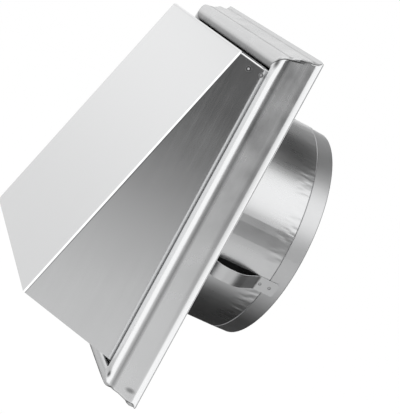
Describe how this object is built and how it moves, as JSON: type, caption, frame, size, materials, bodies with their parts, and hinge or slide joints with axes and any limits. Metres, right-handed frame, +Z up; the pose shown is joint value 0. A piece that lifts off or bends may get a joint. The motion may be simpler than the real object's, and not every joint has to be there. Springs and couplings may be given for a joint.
{
  "type": "hooded wall vent",
  "caption": "Square hooded wall vent in stainless sheet with a round duct collar, bow springs and a gravity flap.",
  "frame": {"origin": "where the axis of the duct collar meets the plane of the wall, at the back of the frame's lip", "axes": "+Y along the collar into the wall, -Y out from the wall towards the viewer, +Z up, +X to the right seen from the front"},
  "size_m": [0.2354, 0.158, 0.2354],
  "materials": {
    "frame_sheet": "satin pressed stainless sheet",
    "hood_sheet": "smooth satin stainless sheet",
    "collar_sheet": "rolled bright stainless sheet",
    "clip_steel": "bright spring strip",
    "seal_foam": "closed-cell foam",
    "flap_sheet": "satin stainless sheet",
    "pin_steel": "drawn wire",
    "bracket_sheet": "satin pressed sheet",
    "rivet_aluminium": "satin"
  },
  "bodies": {
    "vent": {"wall_frame": "frame_sheet", "hood": "hood_sheet", "collar": "collar_sheet", "spring_clip_1": "clip_steel", "spring_clip_2": "clip_steel", "spring_clip_3": "clip_steel", "seal_ring": "seal_foam", "hinge_pin": "pin_steel", "hinge_bracket_right": "bracket_sheet", "hinge_bracket_left": "bracket_sheet", "bracket_rivets": "rivet_aluminium"},
    "flap": {"flap": "flap_sheet"}
  },
  "joints": [
    {"name": "flap_hinge", "type": "hinge", "parent": "vent", "child": "flap", "pos_m": [0, -0.0207, 0.084], "axis": [-1, 0, 0], "range_deg": [0, 22.7]}
  ]
}
